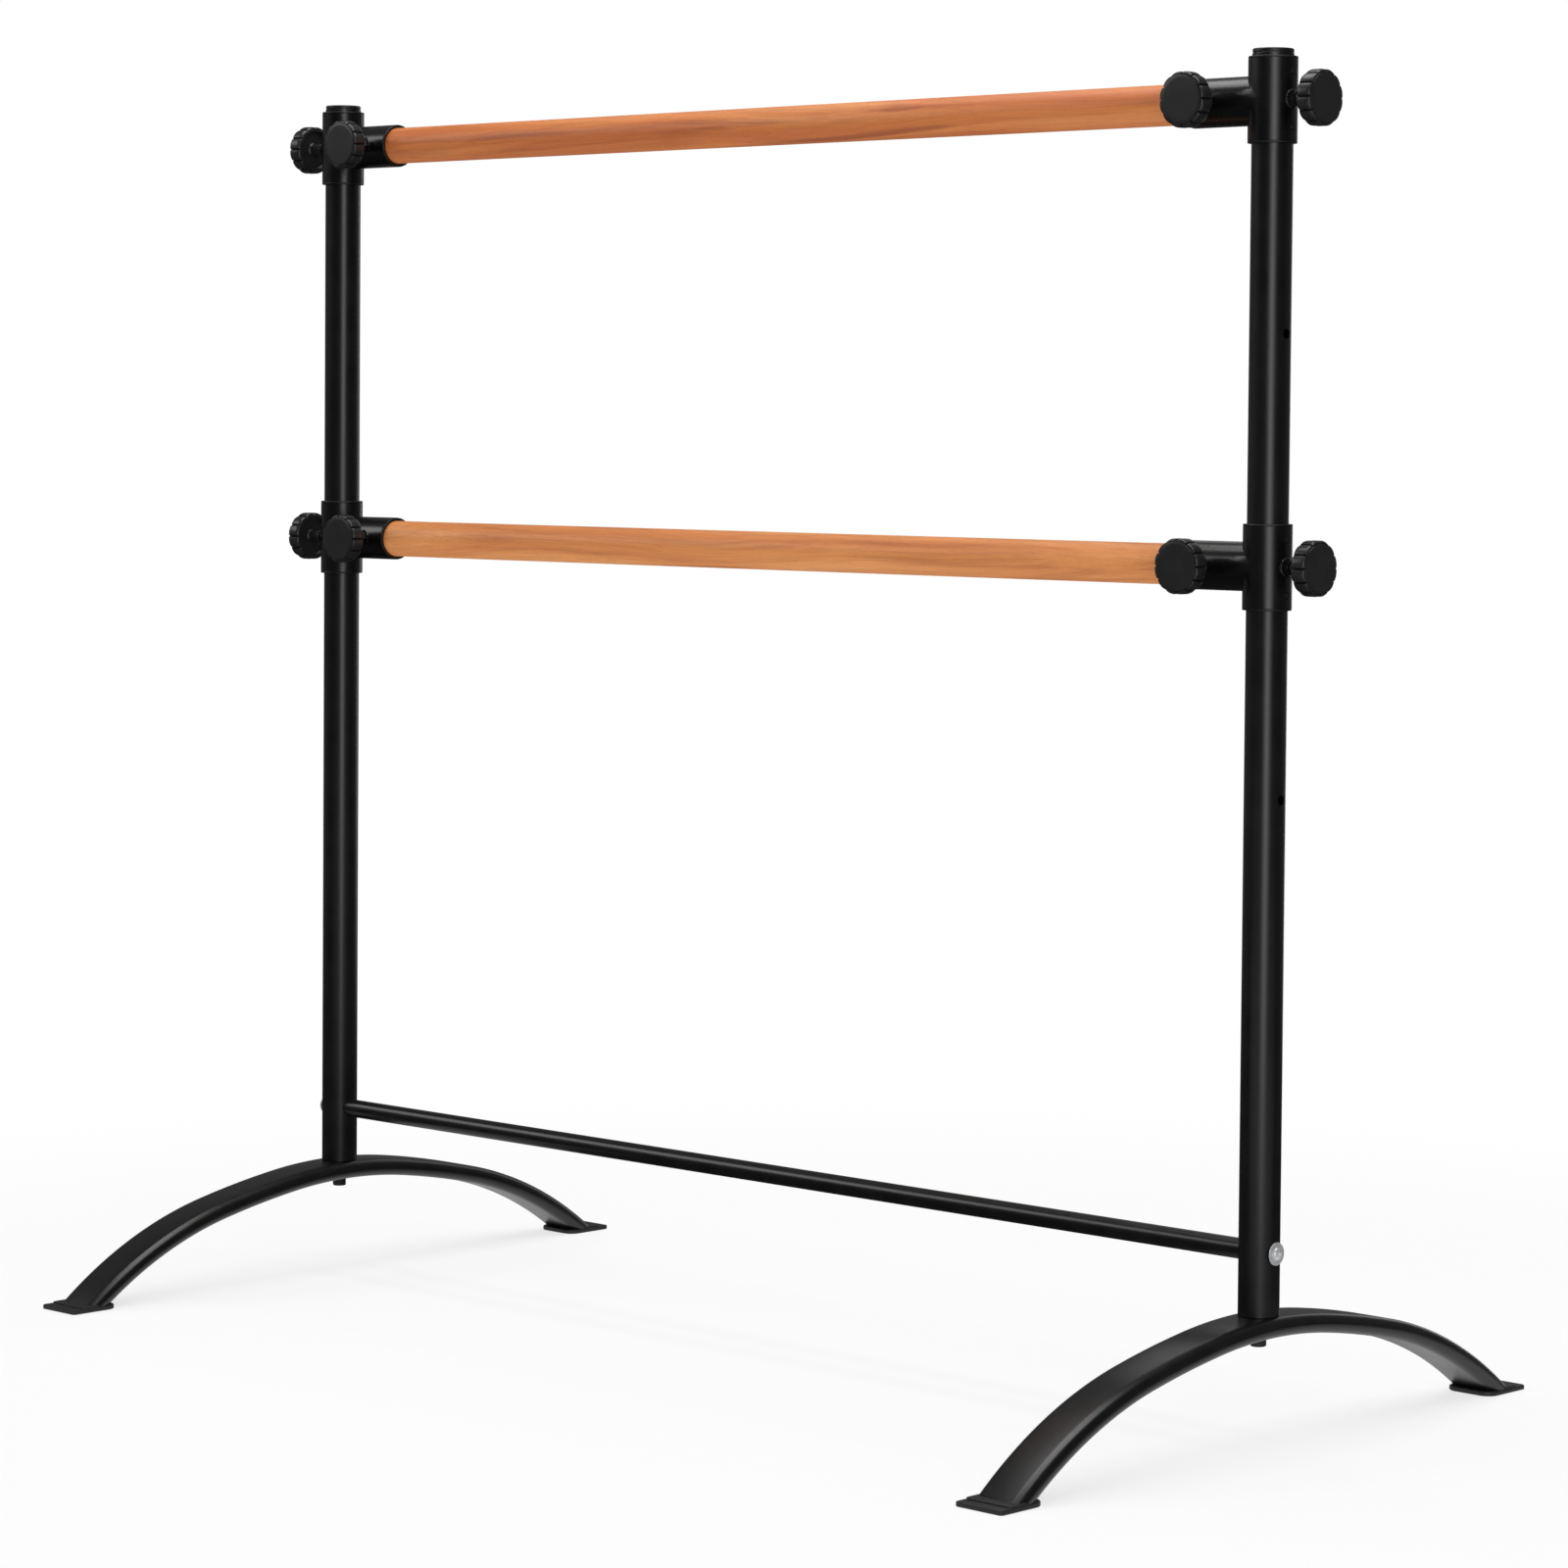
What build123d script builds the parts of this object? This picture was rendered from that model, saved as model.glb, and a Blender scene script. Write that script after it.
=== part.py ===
from build123d import *
import os
from math import asin, cos, pi, radians, sin

# Free-standing double ballet barre: two steel posts on arched feet, a cross tube near the floor,
# and two wooden bars in brackets that slide on the posts.
# Frame: origin on the floor midway between the posts, +X along the bars, +Y across, +Z up.
# Every bracket is drawn about its own post, with "inward" pointing along the bar.

# Driving dimensions (millimetres)
POST_SPACING = 1268.0
POST_D = 38.0
POST_WALL = 1.5
POST_TOP = 1260.0
HOLE_TOP = 1218.0
HOLE_PITCH = 210.0
HOLE_COUNT = 4
HOLE_D = 9.0
UPPER_BAR_Z = HOLE_TOP
LOWER_BAR_Z = HOLE_TOP - 2 * HOLE_PITCH

BAR_D = 38.0
BAR_END_GAP = 1.9
BAR_END_CHAMFER = 1.0

COLLAR_D = 45.0
COLLAR_WALL = 2.0
COLLAR_HEIGHT = 78.0
FLANGE = 2.0
SOCKET_REACH = 90.0
RUNNING_FIT = 0.08
PLASTIC_FIT = 0.1

STUD_D = 8.0
STUD_FIT = 0.15
STUD_CHAMFER = 0.8
BUSH_INNER_END = 6.5
LINER_HOLE_D = 9.0
LINER_SETBACK = 1.0
NUT_AF = 13.0
NUT_OUTER = 28.5
NUT_SUNK = 2.0
WELD_FIT = 0.02
KNOB_D = 51.4
KNOB_SKIRT = 16.0
KNOB_LOBES = 12
KNOB_GROOVE_R = 1.2
KNOB_GROOVE_DEPTH = 1.8
KNOB_HUB_D = 12.0
KNOB_HUB_LEN = 12.5
KNOB_DOME = 1.2
KNOB_FACE_INSET = 0.2
KNOB_FACE_TAPER = 35.0
KNOB_BORE_EXTRA = 0.5
POST_KNOB_FACE = 60.5
BAR_KNOB_FACE = 58.0
BAR_KNOB_X = 60.0
STUD_TIP_GAP = 0.3
STUD_IN_HEAD = 9.0
PEG_D = 6.0
PEG_OFFSET = 25.0
PEG_PROUD = 0.3

ARCH_WIDTH = 52.4
ARCH_THICK = 18.6
ARCH_WALL = 1.5
ARCH_CENTRE_Z = 109.0
ARCH_RADII = (556.0, 1134.0, 449.0)
ARCH_TURNS = (8.24, 5.05, 29.0)
POST_FOOT_GAP = 0.1

PAD_WIDTH = 54.0
PAD_INNER_Y = 325.0
PAD_OUTER_Y = 384.0
PAD_THICK = 4.5
PAD_INNER_ROUND = 13.0
PAD_OUTER_ROUND = 4.0
PAD_PLUG_HEADING = 35.4
PAD_PLUG_FIT = 0.3

CROSS_D = 19.05
CROSS_WALL = 1.5
CROSS_Z = 176.5
CROSS_GAP = 0.1
INSERT_LEN = 24.0
INSERT_SETBACK = 4.0
INSERT_FIT = 0.02
THREAD_FIT = 0.05
SCREW_D = 6.0
SCREW_HEAD_D = 12.0
SCREW_HEAD_H = 3.5
SCREW_HEAD_ROUND = 2.6
SCREW_KEY_AF = 4.0
SCREW_KEY_DEPTH = 2.0
SCREW_GRIP = 20.0
WASHER_D = 21.0
WASHER_T = 1.5

BASE_BOLT_D = 8.0
BASE_BOLT_HEAD = 13.0
BASE_BOLT_HEAD_H = 8.0
BASE_BOLT_GRIP = 20.0
BASE_WASHER_D = 20.0
BASE_WASHER_T = 1.6
BASE_WASHER_GAP = 0.12
POST_INSERT_LEN = 24.0
CAP_RIM_H = 4.0
CAP_DOME = 0.8
CAP_ROUND = 1.5
CAP_RIM_INSET = 0.2
CAP_STUB_LEN = 12.0

# Worked out from them
HALF_SPAN = POST_SPACING / 2
POST_R = POST_D / 2
COLLAR_R = COLLAR_D / 2
COLLAR_BORE_R = COLLAR_R - COLLAR_WALL
GUIDE_R = POST_R + RUNNING_FIT
ARCH_TOP_Z = ARCH_CENTRE_Z + ARCH_THICK / 2
WASHER_TOP_Z = ARCH_CENTRE_Z - ARCH_THICK / 2 - BASE_WASHER_GAP
POST_BOTTOM = ARCH_TOP_Z + POST_FOOT_GAP
STUD_R = STUD_D / 2
STUD_HOLE_R = STUD_R + STUD_FIT
SIDES = (("left", -1), ("right", 1))
LEVELS = (("upper", UPPER_BAR_Z), ("lower", LOWER_BAR_Z))
HOLE_LEVELS = [HOLE_TOP - i * HOLE_PITCH for i in range(HOLE_COUNT)]

os.makedirs("parts", exist_ok=True)


def save(piece, name):
    """Label a finished piece and write it as its own STEP file."""
    piece.label = name
    export_step(piece, f"parts/{name}.step")


def outward(side, distance, z):
    """Plane that faces away from the other post, at a distance from this post's axis."""
    return Plane(
        origin=(side * (HALF_SPAN + distance), 0, z), x_dir=(0, side, 0), z_dir=(side, 0, 0)
    )


def frontward(side, distance, z):
    """Plane that faces the front (-Y), on the bar-lock knob's axis."""
    return Plane(
        origin=(side * (HALF_SPAN - BAR_KNOB_X), -distance, z), x_dir=(1, 0, 0), z_dir=(0, -1, 0)
    )


# Posts: tube with lock holes on the outer side and a through hole for the cross tube's screw
def make_post(side):
    axis = Plane.XY.offset(POST_BOTTOM)
    with BuildPart() as post:
        with BuildSketch(axis):
            with Locations((side * HALF_SPAN, 0)):
                Circle(POST_R)
                Circle(POST_R - POST_WALL, mode=Mode.SUBTRACT)
        extrude(amount=POST_TOP - POST_BOTTOM)
        for level in HOLE_LEVELS:
            with BuildSketch(outward(side, 0, level)):
                Circle(HOLE_D / 2)
            extrude(amount=POST_D, mode=Mode.SUBTRACT)
        with BuildSketch(outward(side, 0, CROSS_Z)):
            Circle(SCREW_D / 2 + STUD_FIT)
        extrude(amount=POST_D, both=True, mode=Mode.SUBTRACT)
    return post.part


# Post cap: a stub inside the tube under a rounded rim with a low dome
def make_post_cap(side):
    stub_r = POST_R - POST_WALL - PLASTIC_FIT
    rim_r = POST_R - CAP_RIM_INSET
    dome_edge = rim_r - CAP_ROUND
    rim_top = POST_TOP + CAP_RIM_H
    dome_r = (dome_edge**2 + CAP_DOME**2) / (2 * CAP_DOME)
    dome_turn = asin(dome_edge / dome_r) / 2
    dome_centre = rim_top + CAP_DOME - dome_r
    round_mid = CAP_ROUND * sin(pi / 4)
    with BuildPart() as cap:
        with BuildSketch(Plane.XZ.shift_origin((side * HALF_SPAN, 0, 0))):
            with BuildLine():
                Polyline(
                    (0, POST_TOP - CAP_STUB_LEN),
                    (stub_r, POST_TOP - CAP_STUB_LEN),
                    (stub_r, POST_TOP),
                    (rim_r, POST_TOP),
                    (rim_r, rim_top - CAP_ROUND),
                )
                ThreePointArc(
                    (rim_r, rim_top - CAP_ROUND),
                    (dome_edge + round_mid, rim_top - CAP_ROUND + round_mid),
                    (dome_edge, rim_top),
                )
                ThreePointArc(
                    (dome_edge, rim_top),
                    (dome_r * sin(dome_turn), dome_centre + dome_r * cos(dome_turn)),
                    (0, rim_top + CAP_DOME),
                )
                Line((0, rim_top + CAP_DOME), (0, POST_TOP - CAP_STUB_LEN))
            make_face()
        revolve(axis=Axis((side * HALF_SPAN, 0, 0), (0, 0, 1)))
    return cap.part


# Threaded plug fixed in the post's lower end, for the base bolt
def make_post_insert(side):
    with BuildPart() as insert:
        with BuildSketch(Plane.XY.offset(POST_BOTTOM)):
            with Locations((side * HALF_SPAN, 0)):
                Circle(POST_R - POST_WALL - INSERT_FIT)
                Circle(BASE_BOLT_D / 2 + THREAD_FIT, mode=Mode.SUBTRACT)
        extrude(amount=POST_INSERT_LEN)
    return insert.part


# Arched foot: one half is swept along three tangent arcs and mirrored
def arch_points(start_turn=0.0, end_turn=sum(ARCH_TURNS)):
    """Arcs of the centre line between two headings, as (start, middle, end) points in Y and Z."""
    arcs = []
    y, z, heading = 0.0, ARCH_CENTRE_Z, 0.0
    for radius, turn in zip(ARCH_RADII, ARCH_TURNS):
        first = max(heading, start_turn)
        last = min(heading + turn, end_turn)

        def place(angle):
            return (
                y + radius * (sin(radians(angle)) - sin(radians(heading))),
                z - radius * (cos(radians(heading)) - cos(radians(angle))),
            )

        if last > first:
            arcs.append((place(first), place((first + last) / 2), place(last)))
        y, z = place(heading + turn)
        heading += turn
    return arcs


def oval_sweep(side, width, thick, start_turn=0.0):
    """Solid flat-oval bar along half of the arch."""
    arcs = arch_points(start_turn)
    x = side * HALF_SPAN
    start_y, start_z = arcs[0][0]
    along = (0, cos(radians(start_turn)), -sin(radians(start_turn)))
    with BuildPart() as bar:
        with BuildLine() as path:
            for arc in arcs:
                ThreePointArc(*[(x, y, z) for y, z in arc])
        with BuildSketch(Plane(origin=(x, start_y, start_z), x_dir=(1, 0, 0), z_dir=along)):
            SlotOverall(width, thick)
        sweep(path=path.wires()[0])
    return bar.part


def make_arch(side):
    inner_width = ARCH_WIDTH - 2 * ARCH_WALL
    inner_thick = ARCH_THICK - 2 * ARCH_WALL
    outer = oval_sweep(side, ARCH_WIDTH, ARCH_THICK)
    inner = oval_sweep(side, inner_width, inner_thick)
    with BuildPart() as arch:
        add(outer)
        mirror(about=Plane.XZ)
        add(inner, mode=Mode.SUBTRACT)
        add(inner.mirror(Plane.XZ), mode=Mode.SUBTRACT)
        split(bisect_by=Plane.XY.offset(PAD_THICK), keep=Keep.TOP)
        with BuildSketch(Plane.XY):
            with Locations((side * HALF_SPAN, 0)):
                Circle(BASE_BOLT_D / 2 + STUD_FIT)
        extrude(amount=2 * ARCH_CENTRE_Z, mode=Mode.SUBTRACT)
    return arch.part


# Foot pad: a flat sole that reaches past the toe, and a plug up inside the arch's open end
def make_foot_pad(side, end):
    inner_width = ARCH_WIDTH - 2 * ARCH_WALL - 2 * PAD_PLUG_FIT
    inner_thick = ARCH_THICK - 2 * ARCH_WALL - 2 * PAD_PLUG_FIT
    plug = oval_sweep(side, inner_width, inner_thick, start_turn=PAD_PLUG_HEADING)
    middle_y = (PAD_INNER_Y + PAD_OUTER_Y) / 2
    with BuildPart() as pad:
        add(plug)
        split(bisect_by=Plane.XY.offset(PAD_THICK / 2), keep=Keep.TOP)
        with BuildSketch():
            with Locations((side * HALF_SPAN, middle_y)):
                Rectangle(PAD_WIDTH, PAD_OUTER_Y - PAD_INNER_Y)
            fillet(vertices().group_by(Axis.Y)[0], radius=PAD_INNER_ROUND)
            fillet(vertices().group_by(Axis.Y)[-1], radius=PAD_OUTER_ROUND)
        extrude(amount=PAD_THICK)
    piece = pad.part
    return piece if end > 0 else piece.mirror(Plane.XZ)


# Cross tube: its ends are shaped to the posts
def make_cross_tube():
    with BuildPart() as tube:
        with BuildSketch(Plane.YZ.offset(-HALF_SPAN)):
            with Locations((0, CROSS_Z)):
                Circle(CROSS_D / 2)
                Circle(CROSS_D / 2 - CROSS_WALL, mode=Mode.SUBTRACT)
        extrude(amount=POST_SPACING)
        with BuildSketch(Plane.XY.offset(CROSS_Z - CROSS_D)):
            with Locations((-HALF_SPAN, 0), (HALF_SPAN, 0)):
                Circle(POST_R + CROSS_GAP)
        extrude(amount=2 * CROSS_D, mode=Mode.SUBTRACT)
    return tube.part


# Threaded plugs in the cross tube's ends
def make_cross_inserts():
    with BuildPart() as inserts:
        for _, side in SIDES:
            with BuildSketch(outward(side, -POST_R - INSERT_SETBACK - INSERT_LEN, CROSS_Z)):
                Circle(CROSS_D / 2 - CROSS_WALL - INSERT_FIT)
                Circle(SCREW_D / 2 + THREAD_FIT, mode=Mode.SUBTRACT)
            extrude(amount=INSERT_LEN)
    return inserts.part


# Button-head socket screws through the posts into those plugs
def make_cross_screws():
    under_head = POST_R + WASHER_T
    with BuildPart() as screws:
        for _, side in SIDES:
            with BuildSketch(outward(side, under_head, CROSS_Z)):
                Circle(SCREW_HEAD_D / 2)
            extrude(amount=SCREW_HEAD_H)
            end_face = faces().filter_by(Axis.X).sort_by(Axis.X)[-1 if side > 0 else 0]
            fillet(end_face.edges(), radius=SCREW_HEAD_ROUND)
            with BuildSketch(outward(side, under_head + SCREW_HEAD_H, CROSS_Z)):
                RegularPolygon(SCREW_KEY_AF / 2, 6, major_radius=False)
            extrude(amount=-SCREW_KEY_DEPTH, mode=Mode.SUBTRACT)
            with BuildSketch(outward(side, -POST_R - SCREW_GRIP, CROSS_Z)):
                Circle(SCREW_D / 2)
            extrude(amount=under_head + POST_R + SCREW_GRIP)
    return screws.part


def make_cross_washers():
    with BuildPart() as washers:
        for _, side in SIDES:
            with BuildSketch(outward(side, POST_R, CROSS_Z)):
                Circle(WASHER_D / 2)
                Circle(SCREW_D / 2 + STUD_FIT, mode=Mode.SUBTRACT)
            extrude(amount=WASHER_T)
    return washers.part


# Base bolts: hex heads under the arches, shanks up through them into the post inserts
def make_base_bolts():
    head_top = WASHER_TOP_Z - BASE_WASHER_T
    with BuildPart() as bolts:
        with BuildSketch(Plane.XY.offset(head_top - BASE_BOLT_HEAD_H)):
            with Locations((-HALF_SPAN, 0), (HALF_SPAN, 0)):
                RegularPolygon(BASE_BOLT_HEAD / 2, 6, major_radius=False)
        extrude(amount=BASE_BOLT_HEAD_H)
        with BuildSketch(Plane.XY.offset(head_top)):
            with Locations((-HALF_SPAN, 0), (HALF_SPAN, 0)):
                Circle(BASE_BOLT_D / 2)
        extrude(amount=POST_BOTTOM + BASE_BOLT_GRIP - head_top)
    return bolts.part


def make_base_washers():
    with BuildPart() as washers:
        with BuildSketch(Plane.XY.offset(WASHER_TOP_Z - BASE_WASHER_T)):
            with Locations((-HALF_SPAN, 0), (HALF_SPAN, 0)):
                Circle(BASE_WASHER_D / 2)
                Circle(BASE_BOLT_D / 2 + STUD_FIT, mode=Mode.SUBTRACT)
        extrude(amount=BASE_WASHER_T)
    return washers.part


# Bracket: sleeve around the post with the bar's socket welded to its inner side
def make_bracket(side, z):
    sleeve_half = COLLAR_HEIGHT / 2 - FLANGE
    with BuildPart() as bracket:
        with BuildSketch(outward(side, -SOCKET_REACH + FLANGE, z)):
            Circle(COLLAR_R)
            Circle(COLLAR_BORE_R, mode=Mode.SUBTRACT)
        extrude(amount=SOCKET_REACH - FLANGE)
        with BuildSketch(Plane.XY.offset(z - sleeve_half)):
            with Locations((side * HALF_SPAN, 0)):
                Circle(COLLAR_R)
        extrude(amount=2 * sleeve_half)
        with BuildSketch(Plane.XY.offset(z - sleeve_half)):
            with Locations((side * HALF_SPAN, 0)):
                Circle(COLLAR_BORE_R)
        extrude(amount=2 * sleeve_half, mode=Mode.SUBTRACT)
        with BuildSketch(outward(side, 0, z)):
            Circle(STUD_HOLE_R)
            with Locations((0, -PEG_OFFSET), (0, PEG_OFFSET)):
                Circle(PEG_D / 2 + PLASTIC_FIT)
        extrude(amount=COLLAR_D, mode=Mode.SUBTRACT)
        with BuildSketch(frontward(side, 0, z)):
            Circle(STUD_HOLE_R)
        extrude(amount=COLLAR_D, mode=Mode.SUBTRACT)
    return bracket.part


# Half-bush: plastic guide inside the sleeve with an end flange and a snap peg
def make_half_bush(side, z, end):
    inner_z = z + end * BUSH_INNER_END
    flange_z = z + end * (COLLAR_HEIGHT / 2 - FLANGE)
    end_z = z + end * COLLAR_HEIGHT / 2
    with BuildPart() as bush:
        with BuildSketch(Plane.XY.offset(inner_z)):
            with Locations((side * HALF_SPAN, 0)):
                Circle(COLLAR_BORE_R - PLASTIC_FIT)
        extrude(amount=flange_z - inner_z)
        with BuildSketch(outward(side, 0, z + end * PEG_OFFSET)):
            Circle(PEG_D / 2)
        extrude(amount=COLLAR_R + PEG_PROUD)
        with BuildSketch(Plane.XY.offset(flange_z)):
            with Locations((side * HALF_SPAN, 0)):
                Circle(COLLAR_R)
        extrude(amount=end_z - flange_z)
        with BuildSketch(Plane.XY.offset(inner_z)):
            with Locations((side * HALF_SPAN, 0)):
                Circle(GUIDE_R)
        extrude(amount=end_z - inner_z, mode=Mode.SUBTRACT)
    return bush.part


# Socket liner: plastic sleeve that the wooden bar turns in
def make_socket_liner(side, z):
    depth = SOCKET_REACH - COLLAR_R - LINER_SETBACK
    with BuildPart() as liner:
        with BuildSketch(outward(side, -SOCKET_REACH, z)):
            Circle(COLLAR_R)
            Circle(BAR_D / 2 + RUNNING_FIT, mode=Mode.SUBTRACT)
        extrude(amount=FLANGE)
        with BuildSketch(outward(side, -SOCKET_REACH + FLANGE, z)):
            Circle(COLLAR_BORE_R - PLASTIC_FIT)
            Circle(BAR_D / 2 + RUNNING_FIT, mode=Mode.SUBTRACT)
        extrude(amount=depth - FLANGE)
        with BuildSketch(frontward(side, 0, z)):
            Circle(LINER_HOLE_D / 2)
        extrude(amount=COLLAR_D, mode=Mode.SUBTRACT)
    return liner.part


# Weld nuts: hex nuts shaped to the round tubes, one for each stud
def make_weld_nuts(side, z):
    with BuildPart() as nuts:
        sunk_r = COLLAR_R - NUT_SUNK
        for seat in (outward(side, sunk_r, z), frontward(side, sunk_r, z)):
            with BuildSketch(seat):
                RegularPolygon(NUT_AF / 2, 6, major_radius=False)
                Circle(STUD_HOLE_R, mode=Mode.SUBTRACT)
            extrude(amount=NUT_OUTER - sunk_r)
        with BuildSketch(Plane.XY.offset(z - NUT_AF)):
            with Locations((side * HALF_SPAN, 0)):
                Circle(COLLAR_R + WELD_FIT)
        extrude(amount=2 * NUT_AF, mode=Mode.SUBTRACT)
        with BuildSketch(outward(side, -SOCKET_REACH, z)):
            Circle(COLLAR_R + WELD_FIT)
        extrude(amount=SOCKET_REACH, mode=Mode.SUBTRACT)
    return nuts.part


# Knob: lobed head with a hub behind, bored for the stud
def make_knob(face_plane):
    skirt = face_plane.offset(-KNOB_SKIRT)
    groove_circle = KNOB_D / 2 + KNOB_GROOVE_R - KNOB_GROOVE_DEPTH
    with BuildPart() as knob:
        with BuildSketch(skirt):
            Circle(KNOB_D / 2)
            with PolarLocations(groove_circle, KNOB_LOBES):
                Circle(KNOB_GROOVE_R, mode=Mode.SUBTRACT)
        extrude(amount=KNOB_SKIRT - KNOB_DOME)
        with BuildSketch(face_plane.offset(-KNOB_DOME)):
            Circle(KNOB_D / 2 - KNOB_GROOVE_DEPTH - KNOB_FACE_INSET)
        extrude(amount=KNOB_DOME, taper=KNOB_FACE_TAPER)
        with BuildSketch(skirt.offset(-KNOB_HUB_LEN)):
            Circle(KNOB_HUB_D / 2)
        extrude(amount=KNOB_HUB_LEN)
        with BuildSketch(skirt.offset(-KNOB_HUB_LEN)):
            Circle(STUD_R + RUNNING_FIT)
        extrude(amount=KNOB_HUB_LEN + STUD_IN_HEAD + KNOB_BORE_EXTRA, mode=Mode.SUBTRACT)
    return knob.part


# Stud: from just clear of the post or bar into the knob's head
def make_stud(face_plane, face_distance):
    tip = POST_R + STUD_TIP_GAP
    root = face_distance - KNOB_SKIRT + STUD_IN_HEAD
    with BuildPart() as stud:
        with BuildSketch(face_plane.offset(tip - face_distance)):
            Circle(STUD_R)
        extrude(amount=root - tip)
        chamfer(edges().group_by(Axis(face_plane.origin, face_plane.z_dir))[0], length=STUD_CHAMFER)
    return stud.part


def make_bar(z):
    length = POST_SPACING - COLLAR_D - 2 * BAR_END_GAP
    with BuildPart() as bar:
        with BuildSketch(Plane.YZ.offset(-length / 2)):
            with Locations((0, z)):
                Circle(BAR_D / 2)
        extrude(amount=length)
        chamfer(edges().filter_by(GeomType.CIRCLE), length=BAR_END_CHAMFER)
    return bar.part


save(make_cross_tube(), "cross_tube")
save(make_cross_inserts(), "cross_tube_inserts")
save(make_cross_screws(), "cross_tube_screws")
save(make_cross_washers(), "cross_tube_washers")
save(make_base_bolts(), "base_bolts")
save(make_base_washers(), "base_bolt_washers")

for side_name, side in SIDES:
    save(make_post(side), f"{side_name}_post")
    save(make_post_cap(side), f"{side_name}_post_cap")
    save(make_post_insert(side), f"{side_name}_post_insert")
    save(make_arch(side), f"{side_name}_base_arch")
    for end_name, end in (("front", -1), ("back", 1)):
        save(make_foot_pad(side, end), f"{side_name}_{end_name}_foot_pad")

for level_name, z in LEVELS:
    save(make_bar(z), f"{level_name}_bar")
    for side_name, side in SIDES:
        place = f"{level_name}_{side_name}"
        post_face = outward(side, POST_KNOB_FACE, z)
        bar_face = frontward(side, BAR_KNOB_FACE, z)
        save(make_bracket(side, z), f"{place}_bracket")
        save(make_half_bush(side, z, 1), f"{place}_top_bush")
        save(make_half_bush(side, z, -1), f"{place}_bottom_bush")
        save(make_socket_liner(side, z), f"{place}_socket_liner")
        save(make_weld_nuts(side, z), f"{place}_weld_nuts")
        save(make_knob(post_face), f"{place}_post_knob")
        save(make_stud(post_face, POST_KNOB_FACE), f"{place}_post_stud")
        save(make_knob(bar_face), f"{place}_bar_knob")
        save(make_stud(bar_face, BAR_KNOB_FACE), f"{place}_bar_stud")
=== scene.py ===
from math import acos, cos, pi, radians, sin, sqrt, tau

import bmesh
import bpy
from mathutils import Matrix, Vector


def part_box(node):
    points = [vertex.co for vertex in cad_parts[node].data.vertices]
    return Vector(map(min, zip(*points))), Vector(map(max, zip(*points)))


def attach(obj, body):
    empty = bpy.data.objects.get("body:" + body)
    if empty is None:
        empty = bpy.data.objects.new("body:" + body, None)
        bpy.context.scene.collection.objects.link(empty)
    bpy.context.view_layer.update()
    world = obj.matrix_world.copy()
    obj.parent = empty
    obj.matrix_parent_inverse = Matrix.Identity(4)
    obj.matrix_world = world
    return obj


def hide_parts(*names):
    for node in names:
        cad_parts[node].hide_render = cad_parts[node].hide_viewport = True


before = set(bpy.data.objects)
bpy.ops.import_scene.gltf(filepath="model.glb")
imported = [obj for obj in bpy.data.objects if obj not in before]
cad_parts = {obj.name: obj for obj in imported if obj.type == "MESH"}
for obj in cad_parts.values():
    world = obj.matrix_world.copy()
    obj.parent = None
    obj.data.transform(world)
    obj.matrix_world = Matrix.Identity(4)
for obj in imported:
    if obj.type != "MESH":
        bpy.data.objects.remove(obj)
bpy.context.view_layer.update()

# A free-standing double ballet barre. Everything is in metres, in the row frame: +X along the
# bars, +Y across them, +Z up. Sizes are read from the CAD nodes, and details are added to them.

MM = 0.001


def low(node):
    """Lowest corner of a CAD node's box."""
    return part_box(node)[0]


def high(node):
    """Highest corner of a CAD node's box."""
    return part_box(node)[1]


def middle(node):
    """Centre of a CAD node's box."""
    return (low(node) + high(node)) / 2


SIDES = (("left", -1), ("right", 1))
LEVELS = ("upper", "lower")

HALF_SPAN = middle("right_post").x
POST_R = (high("right_post").y - low("right_post").y) / 2
POST_WALL = 1.5 * MM
POST_BOTTOM = low("right_post").z
POST_TOP = high("right_post").z
HOLE_R = 4.5 * MM
HOLE_PITCH = (middle("upper_bar").z - middle("lower_bar").z) / 2
HOLE_LEVELS = [middle("upper_bar").z - i * HOLE_PITCH for i in range(4)]

BAR_R = (high("upper_bar").z - low("upper_bar").z) / 2
COLLAR_R = (high("upper_right_socket_liner").y - low("upper_right_socket_liner").y) / 2
COLLAR_HALF = (high("upper_right_bracket").z - low("upper_right_bracket").z) / 2
COLLAR_BORE = COLLAR_R - 2.0 * MM
BUSH_HALF = high("upper_right_top_bush").z - middle("upper_right_bracket").z
GUIDE_R = POST_R + 0.08 * MM
SOCKET_END = HALF_SPAN - low("upper_right_bracket").x
LINER_END = HALF_SPAN - low("upper_right_socket_liner").x
WELD_LEG = 5.0 * MM
WELD_CROWN = 0.8 * MM
WELD_TURN = 8.0 * MM
PEG_OFFSET = 25.0 * MM
PEG_R = 2.7 * MM
PEG_HOLE_R = 3.3 * MM

NUT_FLAT = 6.5 * MM
NUT_SUNK = 2.2 * MM
NUT_WELD_R = 7.6 * MM
NUT_FACE = high("upper_right_weld_nuts").x - HALF_SPAN
STUD_R = (high("upper_right_post_stud").z - low("upper_right_post_stud").z) / 2
THREAD_PITCH = 1.25 * MM
THREAD_DEPTH = 0.62 * MM
KNOB_R = 25.7 * MM
KNOB_SKIRT = 16.0 * MM
KNOB_LOBES = 12
KNOB_GROOVE = 3.3 * MM
KNOB_HUB_R = 6.0 * MM
KNOB_HUB_LENGTH = 12.5 * MM

ARCH_WIDTH = high("right_base_arch").x - low("right_base_arch").x
ARCH_THICK = 18.6 * MM
ARCH_CENTRE_Z = high("right_base_arch").z - ARCH_THICK / 2
# Arcs of the arch's centre line from its top outwards: radius in metres, turn in degrees
ARCH_ARCS = ((0.556, 8.24), (1.134, 5.05), (0.449, 29.0))

PAD_TOP = low("right_base_arch").z
PAD_INNER_Y = 325 * MM
PAD_STEP_Y = (343 * MM, 372 * MM)
PAD_STEP_RISE = 1.6 * MM

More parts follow.
